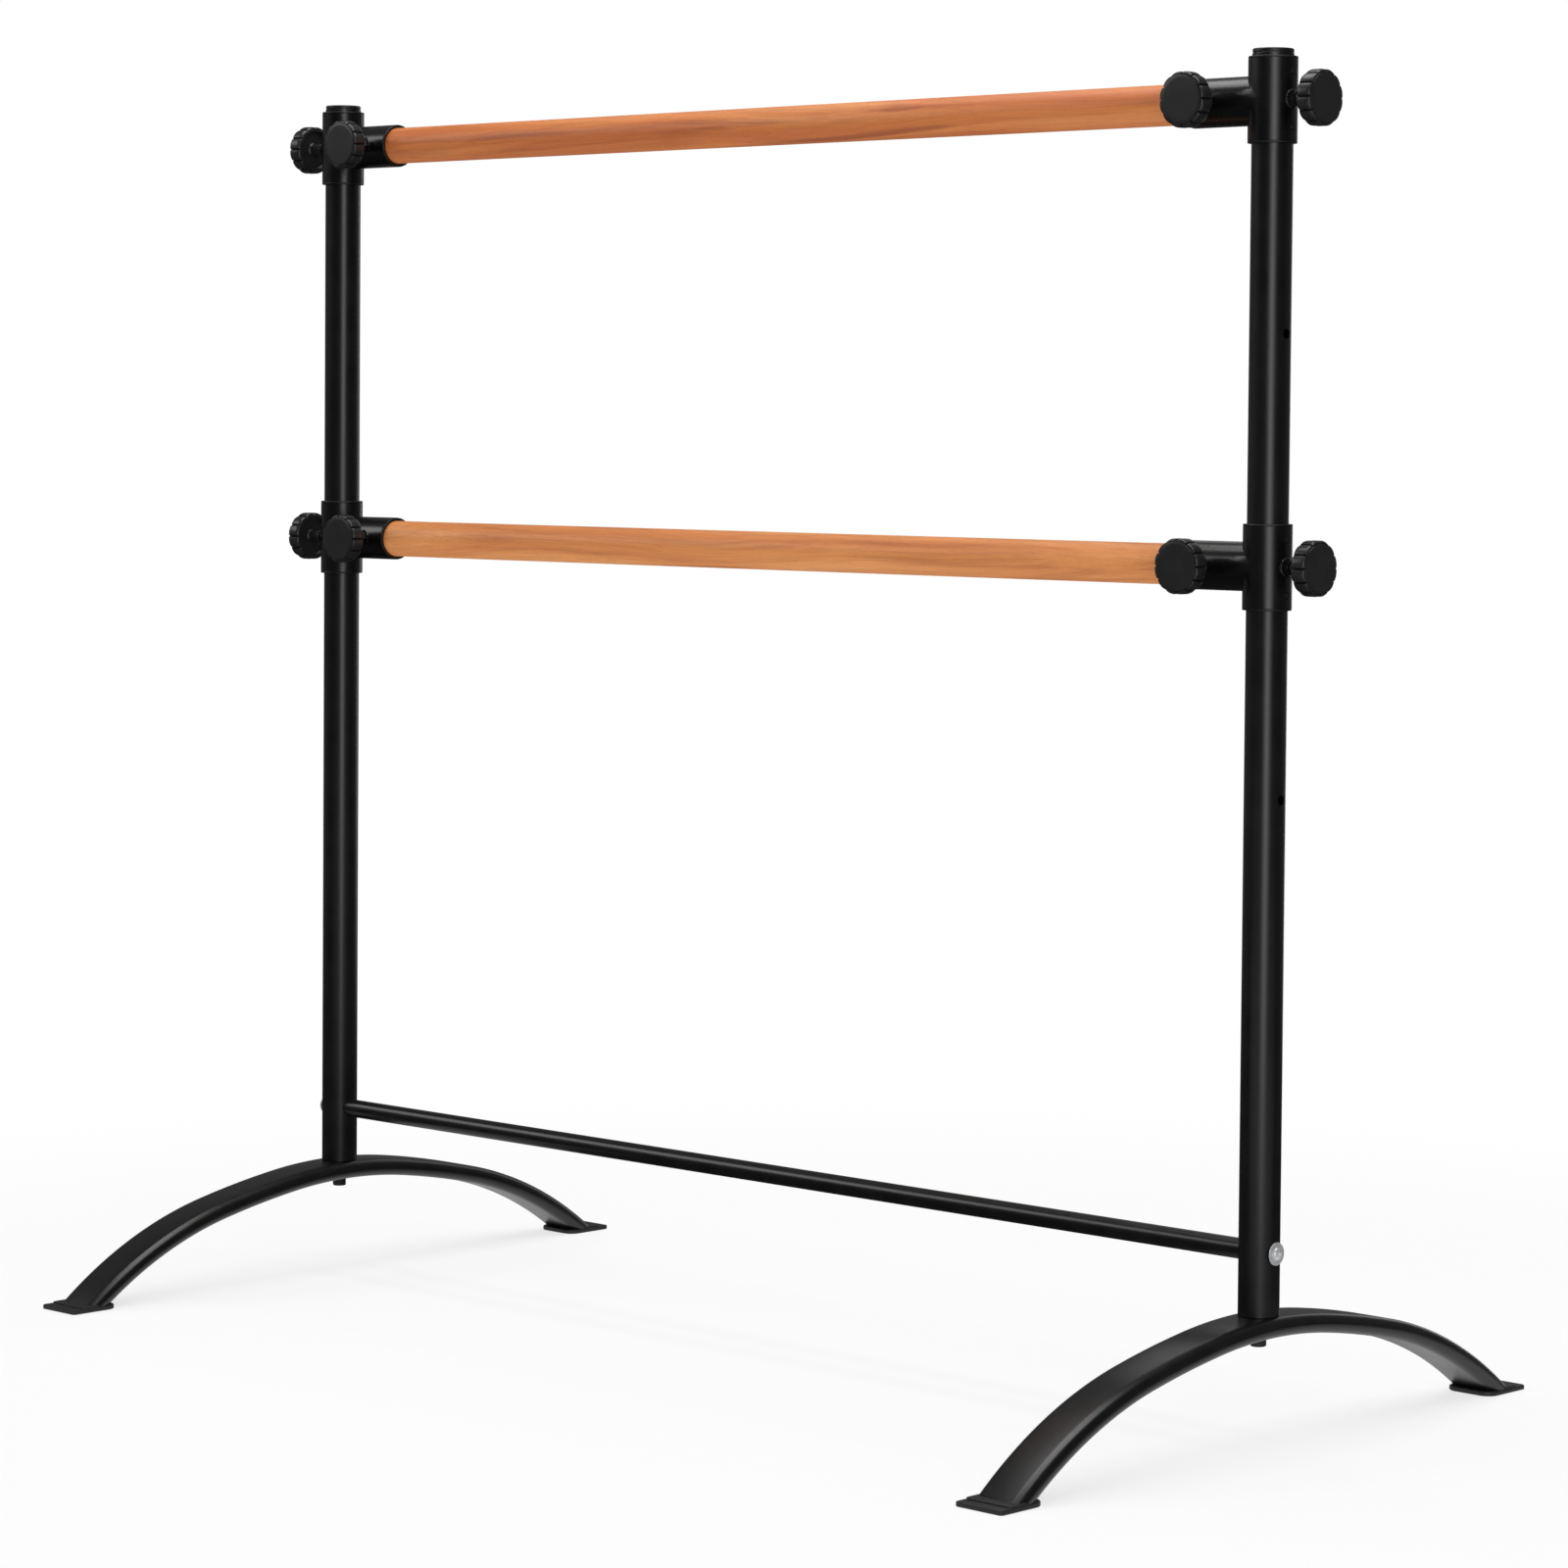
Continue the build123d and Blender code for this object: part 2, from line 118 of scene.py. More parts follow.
CROSS_WASHER_THICK = 1.5 * MM
CROSS_WASHER_HOLE_R = 3.2 * MM
SCREW_HEAD_R = 6.0 * MM
SCREW_HEAD_RISE = 3.5 * MM
SCREW_R = 3.0 * MM
SCREW_LENGTH = 46 * MM
HEX_KEY_FLAT = 2.0 * MM
BASE_BOLT_FLAT = 6.5 * MM
BASE_BOLT_R = 4 * MM
BASE_WASHER_R = 10 * MM
BASE_WASHER_HOLE_R = 4.15 * MM

ROUND_STEPS = 96
SMOOTH_ANGLE = radians(32)


# ---------------------------------------------------------------- mesh helpers


class Shape:
    """Points and faces of one piece."""

    def __init__(self):
        self.points = []
        self.faces = []

    def sheet(self, rows, around=False, along=False):
        """Quads between rows of points; around closes each row, along closes the set of rows."""
        start, width, count = len(self.points), len(rows[0]), len(rows)
        for row in rows:
            self.points.extend(tuple(p) for p in row)
        for i in range(count if along else count - 1):
            for j in range(width if around else width - 1):
                k, n = (i + 1) % count, (j + 1) % width
                self.faces.append(
                    (
                        start + i * width + j,
                        start + i * width + n,
                        start + k * width + n,
                        start + k * width + j,
                    )
                )

    def lid(self, loop):
        """One flat face inside a loop of points."""
        start = len(self.points)
        self.points.extend(tuple(p) for p in loop)
        self.faces.append(tuple(range(start, len(self.points))))

    def turn(self, place, profile, steps=ROUND_STEPS, closed=False):
        """Surface of revolution about place's Z; profile is (radius, height) pairs."""
        self.sheet([ring(place, r, h, steps) for r, h in profile], around=True, along=closed)


def ring(place, radius, height, steps=ROUND_STEPS):
    """Points round an axis. The radius is a number or a function of the angle; steps may be angles."""
    size = radius if callable(radius) else lambda angle: radius
    angles = steps if isinstance(steps, list) else [tau * i / steps for i in range(steps)]
    return [place @ Vector((size(a) * cos(a), size(a) * sin(a), height)) for a in angles]


def rounded(corners, closed=False, steps=4):
    """A profile of (radius, height, rounding) corners, with each corner turned into a small curve."""
    profile = []
    count = len(corners)
    for i, (r, h, soft) in enumerate(corners):
        here = Vector((r, h))
        if soft == 0 or (not closed and i in (0, count - 1)):
            profile.append((r, h))
            continue
        before = Vector(corners[i - 1][:2]) - here
        after = Vector(corners[(i + 1) % count][:2]) - here
        start = here + before.normalized() * min(soft, before.length / 2)
        end = here + after.normalized() * min(soft, after.length / 2)
        for k in range(steps + 1):
            t = k / steps
            point = start * (1 - t) ** 2 + here * (2 * t * (1 - t)) + end * t**2
            profile.append((point.x, point.y))
    return profile


def facing(origin, direction, across=(0, 0, 1)):
    """A place whose Z points along direction and whose X points along across."""
    z = Vector(direction).normalized()
    x = Vector(across).normalized()
    y = z.cross(x)
    turn = Matrix((x, y, z)).transposed()
    return Matrix.Translation(Vector(origin)) @ turn.to_4x4()


def upward(x, y, z):
    """A place at a point, whose Z points up."""
    return facing((x, y, z), (0, 0, 1), (1, 0, 0))


def bead(shape, centre, radius, steps=144, sides=14):
    """Closed round bead along a loop. centre and radius are functions of the angle round the loop."""
    middle_of = [centre(tau * i / steps) for i in range(steps)]
    inside = sum(middle_of, Vector()) / steps
    rows = []
    for i, here in enumerate(middle_of):
        along = (middle_of[(i + 1) % steps] - middle_of[i - 1]).normalized()
        out = (here - inside) - along * (here - inside).dot(along)
        out.normalize()
        across = along.cross(out)
        r = radius(tau * i / steps)
        turns = [tau * k / sides for k in range(sides)]
        rows.append([here + (out * cos(a) + across * sin(a)) * r for a in turns])
    shape.sheet(rows, around=True, along=True)


def hexagon(flat):
    """Radius of a hexagon at an angle, from half its width across flats."""
    return lambda angle: flat / cos((angle + pi / 6) % (pi / 3) - pi / 6)


def build_mesh(name, shape):
    """Mesh of a shape, with its seams joined and its faces turned outwards."""
    mesh = bpy.data.meshes.new(name)
    mesh.from_pydata(shape.points, [], shape.faces)
    work = bmesh.new()
    work.from_mesh(mesh)
    bmesh.ops.remove_doubles(work, verts=work.verts, dist=1e-6)
    bmesh.ops.dissolve_degenerate(work, edges=work.edges, dist=1e-7)
    bmesh.ops.recalc_face_normals(work, faces=work.faces)
    work.to_mesh(mesh)
    work.free()
    return mesh


def add_object(name, shape):
    """New object of a shape, in the scene."""
    thing = bpy.data.objects.new(name, build_mesh(name, shape))
    bpy.context.scene.collection.objects.link(thing)
    return thing


def apply_modifiers(thing):
    """Leaves the result of the modifiers as the object's own mesh."""
    graph = bpy.context.evaluated_depsgraph_get()
    made = bpy.data.meshes.new_from_object(thing.evaluated_get(graph))
    thing.modifiers.clear()
    thing.data = made


def cut(thing, cutters):
    """Removes round cutters, each (place, radius, start, end), from the object's mesh."""
    tools = Shape()
    for place, radius, start, end in cutters:
        profile = [(0, start), (radius, start), (radius, end), (0, end)]
        tools.turn(place, profile, steps=40)
    tool = add_object(thing.name + "_tool", tools)
    modifier = thing.modifiers.new("cut", "BOOLEAN")
    modifier.operation = "DIFFERENCE"
    modifier.solver = "EXACT"
    modifier.object = tool
    bpy.context.view_layer.update()
    apply_modifiers(thing)
    bpy.data.objects.remove(tool)


def finish_piece(thing, body, material, nodes):
    """Shades a piece, gives it its material and puts it on its body in place of CAD nodes."""
    thing.data.shade_smooth()
    thing.data.set_sharp_from_angle(angle=SMOOTH_ANGLE)
    thing.data.materials.clear()
    thing.data.materials.append(material)
    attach(thing, body)
    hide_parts(*nodes)
    return thing


# ------------------------------------------------------------------- materials


class Tree:
    """A short way to add nodes to a material or to the world."""

    def __init__(self, tree):
        self.tree = tree

    def add(self, kind, **settings):
        """New node with its settings."""
        node = self.tree.nodes.new(kind)
        for key, value in settings.items():
            setattr(node, key, value)
        return node

    def join(self, source, target):
        """Links an output to an input."""
        self.tree.links.new(source, target)

    def feed(self, source, target):
        """Gives an input a plain value, or links an output to it."""
        if isinstance(source, bpy.types.NodeSocket):
            self.join(source, target)
        else:
            target.default_value = source

    def span(self, value, low_end, high_end, start=0.0, stop=1.0, smooth=False):
        """Maps start to stop onto low_end to high_end, and holds the ends beyond."""
        curve = "SMOOTHSTEP" if smooth else "LINEAR"
        node = self.add("ShaderNodeMapRange", interpolation_type=curve)
        node.inputs["From Min"].default_value = start
        node.inputs["From Max"].default_value = stop
        self.feed(low_end, node.inputs["To Min"])
        self.feed(high_end, node.inputs["To Max"])
        self.join(value, node.inputs["Value"])
        return node.outputs[0]

    def math(self, operation, first, second=0.0):
        """Result of a sum on two numbers or outputs."""
        node = self.add("ShaderNodeMath", operation=operation)
        self.feed(first, node.inputs[0])
        self.feed(second, node.inputs[1])
        return node.outputs[0]

    def measure(self, operation, vector, other=(0, 0, 0)):
        """Number made from a vector, such as its length."""
        node = self.add("ShaderNodeVectorMath", operation=operation)
        self.join(vector, node.inputs[0])
        node.inputs[1].default_value = other
        return node.outputs["Value"]


class Nodes(Tree):
    """The node tree of one new material."""

    def __init__(self, name):
        self.material = bpy.data.materials.new(name)
        self.material.use_nodes = True
        super().__init__(self.material.node_tree)
        self.tree.nodes.clear()
        self.out = self.add("ShaderNodeOutputMaterial")
        self.shader = self.add("ShaderNodeBsdfPrincipled")
        self.join(self.shader.outputs[0], self.out.inputs[0])
        self.where = self.add("ShaderNodeTexCoord").outputs["Object"]

    def mapped(self, scale=(1, 1, 1), shift=(0, 0, 0), turn=(0, 0, 0)):
        """The material's coordinates, scaled, turned and shifted."""
        mapping = self.add("ShaderNodeMapping")
        mapping.inputs["Scale"].default_value = scale
        mapping.inputs["Location"].default_value = shift
        mapping.inputs["Rotation"].default_value = turn
        self.join(self.where, mapping.inputs["Vector"])
        return mapping.outputs[0]

    def noise(self, where, scale, detail=3.0, rough=0.5, output="Fac"):
        """Smooth noise at a vector, as a factor or as a colour."""
        node = self.add("ShaderNodeTexNoise")
        node.inputs["Scale"].default_value = scale
        node.inputs["Detail"].default_value = detail
        node.inputs["Roughness"].default_value = rough
        self.join(where, node.inputs["Vector"])
        return node.outputs[output]

    def ramp(self, value, stops):
        """Colour ramp; stops are (position, (r, g, b)) in linear colour."""
        node = self.add("ShaderNodeValToRGB")
        ramp = node.color_ramp
        while len(ramp.elements) < len(stops):
            ramp.elements.new(0.5)
        for element, (position, colour) in zip(ramp.elements, stops):
            element.position = position
            element.color = (*colour, 1)
        self.join(value, node.inputs[0])
        return node.outputs[0]

    def mix(self, share, first, second, blend="MIX"):
        """Mixes two colours; share and second are a plain value or an output."""
        node = self.add("ShaderNodeMix", data_type="RGBA", blend_type=blend)
        self.feed(share, node.inputs[0])
        self.join(first, node.inputs[6])
        self.feed(second, node.inputs[7])
        return node.outputs[2]

    def either(self, share, first, second):
        """Mixes two shaders."""
        node = self.add("ShaderNodeMixShader")
        self.join(share, node.inputs[0])
        self.join(first, node.inputs[1])
        self.join(second, node.inputs[2])
        return node.outputs[0]

    def bump(self, height, distance):
        """Normal of a surface that rises by distance where height is 1."""
        node = self.add("ShaderNodeBump")
        node.inputs["Distance"].default_value = distance
        node.inputs["Strength"].default_value = 1.0
        self.join(height, node.inputs["Height"])
        return node.outputs[0]

    def set(self, **values):
        """Sets inputs of the Principled shader."""
        for key, value in values.items():
            self.shader.inputs[key.replace("_", " ")].default_value = value


def coated_steel(name, dark, light, rough_low, rough_high, peel):
    """Powder coat: near-black, with a fine orange peel and slow changes in gloss."""
    n = Nodes(name)
    fine = n.noise(n.where, 900.0, detail=2.0)
    slow = n.noise(n.where, 35.0, detail=2.0)
    n.join(n.ramp(slow, [(0.3, dark), (0.7, light)]), n.shader.inputs["Base Color"])
    n.join(n.span(slow, rough_low, rough_high), n.shader.inputs["Roughness"])
    n.join(n.bump(fine, peel), n.shader.inputs["Normal"])
    return n.material


def moulded(name, dark, light, rough, grain):
    """Injection-moulded plastic or rubber with a fine spark-eroded grain."""
    n = Nodes(name)
    fine = n.noise(n.where, 1600.0, detail=1.0)
    cloud = n.noise(n.where, 60.0, detail=3.0)
    n.join(n.ramp(cloud, [(0.3, dark), (0.7, light)]), n.shader.inputs["Base Color"])
    n.join(n.span(cloud, rough - 0.05, rough + 0.06), n.shader.inputs["Roughness"])
    n.join(n.bump(fine, grain), n.shader.inputs["Normal"])
    return n.material


def plated(name, colour, rough):
    """Zinc plate: bright metal with faint clouding and fine machining marks."""
    n = Nodes(name)
    cloud = n.noise(n.where, 260.0, detail=3.0)
    marks = n.noise(n.where, 2600.0, detail=1.0)
    deep = tuple(0.78 * c for c in colour)
    n.join(n.ramp(cloud, [(0.3, deep), (0.7, colour)]), n.shader.inputs["Base Color"])
    n.join(n.span(cloud, rough - 0.06, rough + 0.1), n.shader.inputs["Roughness"])
    n.join(n.bump(marks, 0.004 * MM), n.shader.inputs["Normal"])
    n.set(Metallic=0.75)
    return n.material


def lacquered_wood(name, tones, figure, seed):
    """Turned wood: long wavering streaks in three sizes, fibres, pores and a satin lacquer."""
    n = Nodes(name)
    light, base, dark, deep = tones
    wander = n.noise(n.mapped(shift=(seed, 0, 0)), 2.4, detail=1.0, output="Color")
    push = n.add("ShaderNodeVectorMath", operation="SCALE")
    push.inputs["Scale"].default_value = 0.035
    n.join(wander, push.inputs[0])
    bent = n.add("ShaderNodeVectorMath", operation="ADD")
    n.join(n.mapped(turn=(0, 0.012, 0.022)), bent.inputs[0])
    n.join(push.outputs[0], bent.inputs[1])
    n.where = bent.outputs[0]
    broad = n.noise(n.mapped((1.6, 38.0, 38.0), (seed, 0, 0)), 1.0, detail=2.0)
    streak = n.noise(n.mapped((2.8, 130.0, 130.0), (seed, 2, 0)), 1.0, detail=3.0, rough=0.6)
    bold = n.noise(n.mapped((2.4, 70.0, 70.0), (seed, 5, 0)), 1.0, detail=2.0, rough=0.55)
    fibre = n.noise(n.mapped((14.0, 900.0, 900.0), (seed, 0, 0)), 1.0, detail=2.0, rough=0.6)
    pores = n.noise(n.mapped((150.0, 1500.0, 1500.0)), 1.0, detail=0.0)
    colour = n.ramp(broad, [(0.34, dark), (0.5, base), (0.66, light)])
    fine = n.ramp(streak, [(0.30, (0.78, 0.71, 0.66)), (0.5, (1, 1, 1)), (0.7, (1.08, 1.10, 1.12))])
    colour = n.mix(0.85, colour, fine, "MULTIPLY")
    marks = n.ramp(bold, [(0.0, (1, 1, 1)), (0.29, (1, 1, 1)), (0.38, (0, 0, 0))])
    colour = n.mix(n.math("MULTIPLY", marks, figure), colour, (*deep, 1))
    grain = n.ramp(fibre, [(0.3, (0.84, 0.80, 0.76)), (0.7, (1.08, 1.08, 1.08))])
    colour = n.mix(0.7, colour, grain, "MULTIPLY")
    speck = n.ramp(pores, [(0.24, (0.78, 0.70, 0.64)), (0.34, (1, 1, 1))])
    colour = n.mix(0.5, colour, speck, "MULTIPLY")
    n.join(colour, n.shader.inputs["Base Color"])
    n.join(n.span(fibre, 0.60, 0.50), n.shader.inputs["Roughness"])
    n.join(n.bump(fibre, 0.02 * MM), n.shader.inputs["Normal"])
    n.set(Coat_Weight=0.06, Coat_Roughness=0.30)
    return n.material


POWDER = coated_steel("powder_coat", (0.0025,) * 3, (0.0045,) * 3, 0.26, 0.32, 0.02 * MM)
GLOSS = coated_steel("bracket_coat", (0.0015,) * 3, (0.003,) * 3, 0.24, 0.31, 0.008 * MM)
PLASTIC = moulded("black_plastic", (0.003,) * 3, (0.006,) * 3, 0.40, 0.010 * MM)
KNOB = moulded("knob_plastic", (0.009, 0.009, 0.0095), (0.012, 0.012, 0.013), 0.35, 0.012 * MM)
RUBBER = moulded("foot_rubber", (0.005, 0.005, 0.005), (0.009, 0.009, 0.0088), 0.58, 0.03 * MM)
ZINC = plated("zinc", (0.90, 0.91, 0.92), 0.40)
BOLT = coated_steel("black_bolt", (0.006,) * 3, (0.010,) * 3, 0.30, 0.42, 0.01 * MM)
WOOD = {
    "upper": lacquered_wood(
        "wood_upper",
        ((0.59, 0.212, 0.056), (0.54, 0.160, 0.032), (0.47, 0.122, 0.023), (0.31, 0.074, 0.019)),
        0.75,
        3.1,
    ),
    "lower": lacquered_wood(
        "wood_lower",
        ((0.69, 0.280, 0.086), (0.64, 0.236, 0.063), (0.57, 0.190, 0.048), (0.45, 0.136, 0.038)),
        0.30,
        8.7,
    ),
}


# ---------------------------------------------------------------- fixed frame


def make_post(name, side):
    """Tube with softened ends and the lock holes on its outer side."""
    place = upward(side * HALF_SPAN, 0, 0)
    inner = POST_R - POST_WALL
    band = 8 * MM
    heights = []
    for level in reversed(HOLE_LEVELS):
        heights += [level - band, level + band]
    soft = 0.4 * MM
    outer = [(POST_R, POST_BOTTOM + soft)] + [(POST_R, h) for h in heights]
    heights = [h for h in heights if h < POST_TOP - band]
    shape = Shape()
    profile = [(POST_R, POST_TOP - soft), (POST_R - soft, POST_TOP), (inner, POST_TOP)]
    profile += [(inner, h) for h in reversed(heights)]
    profile += [(inner, POST_BOTTOM), (POST_R - soft, POST_BOTTOM)]
    shape.turn(place, outer + profile, closed=True)
    post = add_object(name + "_shape", shape)
    cutters = []
    for level in HOLE_LEVELS:
        out = facing((side * HALF_SPAN, 0, level), (side, 0, 0))
        cutters.append((out, HOLE_R, POST_R / 2, POST_R * 2))
    cut(post, cutters)
    return finish_piece(post, "base_frame", POWDER, [name])


def make_post_cap(name, side):
    """Plug with a fine gap over the tube's end, a rounded rim and a low dome."""
    place = upward(side * HALF_SPAN, 0, POST_TOP)
    rim = POST_R - 0.2 * MM
    stub = POST_R - POST_WALL - 0.1 * MM
    rise = high(name).z - POST_TOP
    edge = rise - 0.8 * MM
    corners = [
        (0, -12 * MM, 0),
        (stub, -12 * MM, 0.8 * MM),
        (stub, 0, 0),
        (rim - 1.1 * MM, 0, 0),
        (rim - 1.1 * MM, 0.6 * MM, 0),
        (rim, 0.7 * MM, 0.3 * MM),
        (rim, edge, 1.6 * MM),
        (rim - 3.0 * MM, edge, 0),
    ]
    profile = rounded(corners, steps=6)
    dome = rim - 3.0 * MM
    for k in range(1, 9):
        r = dome * (1 - k / 8)
        profile.append((r, edge + 0.8 * MM * (1 - (r / dome) ** 2)))
    shape = Shape()
    shape.turn(place, profile)
    cap = add_object(name + "_shape", shape)
    return finish_piece(cap, "base_frame", PLASTIC, [name])


def arch_stations():
    """(y, z, heading) at every degree or so along half of the centre line, from its top outwards."""
    y, z, heading = 0.0, ARCH_CENTRE_Z, 0.0
    stations = [(y, z, heading)]
    for radius, turn in ARCH_ARCS:
        count = round(turn)
        for k in range(1, count + 1):
            angle = radians(heading + turn * k / count)
            start = radians(heading)
            reach = radius * (sin(angle) - sin(start))
            fall = radius * (cos(start) - cos(angle))
            stations.append((y + reach, z - fall, angle))
        y, z, _ = stations[-1]
        heading += turn
    return stations


def flat_oval(width, thick, steps=14):
    """Loop of (across, through) points round a tube with flat faces and half-round sides."""
    radius = thick / 2
    flat = width / 2 - radius
    loop = []
    for sign in (1, -1):
        for k in range(steps + 1):
            angle = -pi / 2 + pi * k / steps
            across = flat + radius * cos(angle)
            loop.append((sign * across, sign * radius * sin(angle)))
    return loop


def make_arch(name, side):
    """Flat-oval tube bent over the arch, cut level where it stands in its feet."""
    half = arch_stations()
    stations = [(-y, z, -a) for y, z, a in reversed(half[1:])] + half
    section = flat_oval(ARCH_WIDTH, ARCH_THICK)
    rows = []
    for y, z, angle in stations:
        rows.append(
            [
                (side * HALF_SPAN + across, y + through * sin(angle), z + through * cos(angle))
                for across, through in section
            ]
        )
    shape = Shape()
    shape.sheet(rows, around=True)
    shape.lid(rows[0])
    shape.lid(rows[-1])
    arch = add_object(name + "_shape", shape)
    work = bmesh.new()
    work.from_mesh(arch.data)
    everything = work.verts[:] + work.edges[:] + work.faces[:]
    bmesh.ops.bisect_plane(
        work, geom=everything, plane_co=(0, 0, PAD_TOP), plane_no=(0, 0, -1), clear_outer=True
    )
    bmesh.ops.holes_fill(work, edges=[e for e in work.edges if e.is_boundary])
    bmesh.ops.recalc_face_normals(work, faces=work.faces)
    work.to_mesh(arch.data)
    work.free()
    return finish_piece(arch, "base_frame", POWDER, [name])


def rounded_outline(x_half, y_low, y_high, radius_low, radius_high, inset=0.0, steps=8):
    """Loop of (x, y) round a rectangle whose two ends have their own corner radii."""
    x_half, y_low, y_high = x_half - inset, y_low + inset, y_high - inset
    corners = (
        (x_half, y_high, radius_high, 0),
        (-x_half, y_high, radius_high, 90),
        (-x_half, y_low, radius_low, 180),
        (x_half, y_low, radius_low, 270),
    )
    loop = []
    for x, y, radius, start in corners:
        radius = max(radius - inset, 0.3 * MM)
        centre_x = x - radius if x > 0 else x + radius
        centre_y = y - radius if y == y_high else y + radius
        for k in range(steps + 1):
            angle = radians(start + 90 * k / steps)
            loop.append((centre_x + radius * cos(angle), centre_y + radius * sin(angle)))
    return loop


def stacked(shape, layers, outline, place):
    """Closed block of layers, each (inset, height), of one outline."""
    rows = [[place(x, y, h) for x, y in outline(inset)] for inset, h in layers]
    shape.sheet(rows, around=True)
    shape.lid(rows[0])
    shape.lid(rows[-1])


def make_foot_pad(name, side, end):
    """Moulded sole with softened edges and a low step that hugs the leg."""
    outer_y = max(abs(low(name).y), abs(high(name).y))
    half_width = (high(name).x - low(name).x) / 2
    step_half = half_width - 0.8 * MM

    def place(x, y, z):
        return (side * HALF_SPAN + x, end * y, z)

    def sole(inset):
        return rounded_outline(half_width, PAD_INNER_Y, outer_y, 13 * MM, 4 * MM, inset)

    def step(inset):
        return rounded_outline(step_half, *PAD_STEP_Y, 9 * MM, 5 * MM, inset)

    shape = Shape()
    soft = 0.7 * MM
    layers = [(soft, 0), (0, soft), (0, PAD_TOP - 1.1 * MM), (0.35 * MM, PAD_TOP - 0.35 * MM)]
    stacked(shape, layers + [(1.1 * MM, PAD_TOP)], sole, place)
    lift = PAD_TOP + PAD_STEP_RISE
    layers = [(0, PAD_TOP - 1.0 * MM), (0, lift - 0.7 * MM), (0.25 * MM, lift - 0.2 * MM)]
    stacked(shape, layers + [(0.8 * MM, lift)], step, place)
    pad = add_object(name + "_shape", shape)
    return finish_piece(pad, "base_frame", RUBBER, [name])


def make_cross_tube():
    """Thin tube whose ends are shaped to the posts."""
    radius = (high("cross_tube").z - low("cross_tube").z) / 2
    z = middle("cross_tube").z
    loop = [(radius * cos(tau * k / 64), radius * sin(tau * k / 64)) for k in range(64)]
    rows = []
    for share in (-1, -0.5, 0, 0.5, 1):
        row = []
        for y, lift in loop:
            reach = HALF_SPAN - sqrt(POST_R**2 - y**2)
            row.append((share * reach, y, z + lift))
        rows.append(row)
    shape = Shape()
    shape.sheet(rows, around=True)
    shape.lid(rows[0])
    shape.lid(rows[-1])
    tube = add_object("cross_tube_shape", shape)
    return finish_piece(tube, "base_frame", POWDER, ["cross_tube"])


def make_cross_screws():
    """Button heads with a hex socket, on plain shanks."""
    shape = Shape()
    z = middle("cross_tube_screws").z
    socket = hexagon(HEX_KEY_FLAT)
    soft = 0.15 * MM
    face = SCREW_HEAD_RISE
    for _, side in SIDES:
        place = facing((side * (HALF_SPAN + POST_R + CROSS_WASHER_THICK), 0, z), (side, 0, 0))
        rows = [ring(place, SCREW_HEAD_R, 0)]
        for a in (0, 0.25, 0.5, 0.75, 1.0, 1.15):
            rows.append(ring(place, SCREW_HEAD_R * cos(a), (0.4 + 3.1 * sin(a)) * MM))
        rows.append(ring(place, lambda a: socket(a) + soft, face))
        rows.append(ring(place, socket, face - soft))
        rows.append(ring(place, socket, face - 2.0 * MM))
        rows.append(ring(place, 0.0, face - 2.5 * MM))
        shape.sheet(rows, around=True)
        shank = [(SCREW_HEAD_R, 0), (SCREW_R, 0), (SCREW_R, -SCREW_LENGTH), (0, -SCREW_LENGTH)]
        shape.turn(place, shank)
    screws = add_object("cross_tube_screws_shape", shape)
    return finish_piece(screws, "base_frame", ZINC, ["cross_tube_screws"])


def flat_washer(shape, place, outer, inner, thick):
    """Washer with a rolled rim, standing on place's Z = 0."""
    corners = [
        (inner, 0, 0.15 * MM),
        (outer, 0, 0.3 * MM),
        (outer, thick, 0.5 * MM),
        (inner, thick, 0.3 * MM),
    ]
    shape.turn(place, rounded(corners, closed=True), closed=True)


def make_cross_washers():
    """Washers between those heads and the posts."""
    shape = Shape()
    z = middle("cross_tube_washers").z
    outer = (high("cross_tube_washers").z - low("cross_tube_washers").z) / 2
    for _, side in SIDES:
        place = facing((side * (HALF_SPAN + POST_R), 0, z), (side, 0, 0))
        flat_washer(shape, place, outer, CROSS_WASHER_HOLE_R, CROSS_WASHER_THICK)
    washers = add_object("cross_tube_washers_shape", shape)
    return finish_piece(washers, "base_frame", ZINC, ["cross_tube_washers"])


def hex_head(shape, place, flat, height, hole=0.0, steps=72):
    """Chamfered hex head or nut from place's Z = 0 up to its height."""
    hexed = hexagon(flat)

    def chamfered(below_top):
        return lambda a: min(hexed(a), flat * 0.96 + below_top * 1.75)

    drops = (1.1 * MM, 0.75 * MM, 0.4 * MM, 0.12 * MM, 0.0)
    rows = [ring(place, hexed, 0, steps)]
    rows += [ring(place, chamfered(drop), height - drop, steps) for drop in drops]
    if hole:
        soft = 0.3 * MM
        rows.append(ring(place, hole + soft, height, steps))
        rows.append(ring(place, hole, height - soft, steps))
        rows.append(ring(place, hole, 0, steps))
        shape.sheet(rows, around=True, along=True)
    else:
        rows.append(ring(place, 0.0, height, steps))
        shape.sheet(rows, around=True)
        shape.sheet([rows[0], ring(place, 0.0, 0, steps)], around=True)


